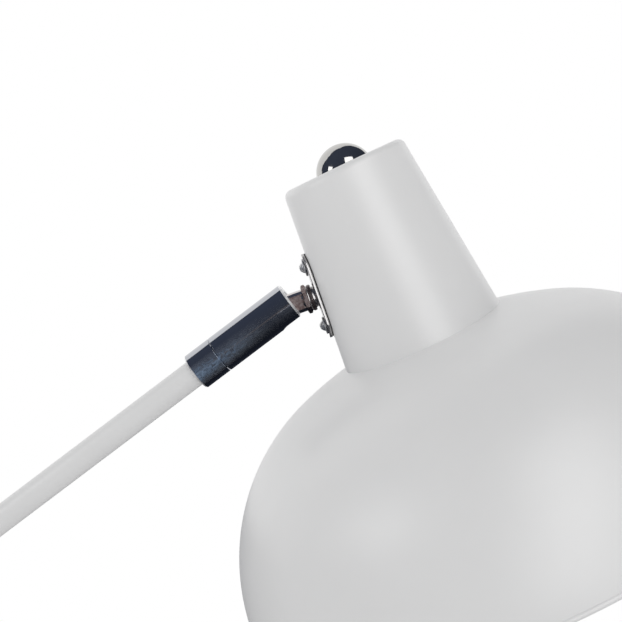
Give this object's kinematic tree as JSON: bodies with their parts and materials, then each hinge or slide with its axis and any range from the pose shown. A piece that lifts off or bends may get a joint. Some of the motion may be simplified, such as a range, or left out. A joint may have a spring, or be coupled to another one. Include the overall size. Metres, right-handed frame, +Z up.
{
  "type": "arc floor lamp",
  "caption": "Floor lamp: a bent white tube arm on a weighted round base carries a dome shade with a cone neck on a slotted ball joint.",
  "frame": {"origin": "centre of the base pad's underside, on the floor", "axes": "+Z up along the pole, +X the way the arc reaches, Y across"},
  "size_m": [0.9377, 0.3088, 1.6898],
  "materials": {
    "white_paint": "satin powder coat",
    "chrome": "polished chrome plate",
    "nickel": "nickel plate",
    "zinc_steel": "zinc plate",
    "cast_iron": "raw casting",
    "rubber": "matt rubber",
    "white_plastic": "moulded",
    "cable": "cable sheath",
    "brass": "plain brass",
    "glass": "opal glass"
  },
  "bodies": {
    "stand": {"base_pad": "rubber", "base_weight": "cast_iron", "base_cover": "white_paint", "base_bolt": "zinc_steel", "base_washer": "zinc_steel", "foot_plug": "zinc_steel", "foot_collar": "white_paint", "cord_gland": "rubber", "lower_pole": "white_paint", "pole_coupler": "zinc_steel", "upper_pole": "white_paint", "swivel_bush": "chrome", "pole_lead": "cable"},
    "arc": {"arc_tube": "white_paint", "stop_collar": "chrome", "collar_screw": "zinc_steel", "arm_lead": "cable", "arm_collar": "chrome", "retaining_ring": "zinc_steel"},
    "sleeve": {"joint_sleeve": "chrome", "ball_cup": "white_plastic", "disc_springs": "zinc_steel", "joint_lead": "cable"},
    "ball": {"ball_stem": "nickel", "lock_nut": "nickel", "stem_washer": "nickel", "friction_washer": "zinc_steel", "stem_nut": "zinc_steel", "stem_lead": "cable"},
    "head": {"joint_plate": "nickel", "plate_gasket": "rubber", "plate_screws": "nickel", "backing_saddle": "zinc_steel", "plate_nuts": "zinc_steel", "neck": "white_paint", "finial": "chrome", "neck_nut": "zinc_steel", "nipple": "zinc_steel", "holder_cap": "white_plastic", "holder_skirt": "white_plastic", "holder_insert": "white_plastic", "thread_shell": "brass", "centre_contact": "brass", "shade": "white_paint", "shade_ring": "white_plastic", "bulb_cap": "zinc_steel", "bulb_glass": "glass", "head_lead": "cable"}
  },
  "joints": [
    {"name": "arc_swivel", "type": "hinge", "parent": "stand", "child": "arc", "pos_m": [0, 0, 0.8862], "axis": [0, 0, 1], "range_deg": [-170, 170]},
    {"name": "sleeve_swivel", "type": "hinge", "parent": "arc", "child": "sleeve", "pos_m": [0.52108, 0, 1.59862], "axis": [0.7972, 0, 0.6038], "range_deg": [-170, 170]},
    {"name": "head_tilt", "type": "hinge", "parent": "sleeve", "child": "ball", "pos_m": [0.52108, 0, 1.59862], "axis": [0, 1, 0], "range_deg": [-17, 34]},
    {"name": "head_roll", "type": "hinge", "parent": "ball", "child": "head", "pos_m": [0.52108, 0, 1.59862], "axis": [0.9425, 0, 0.3341], "range_deg": [-170, 170]}
  ]
}
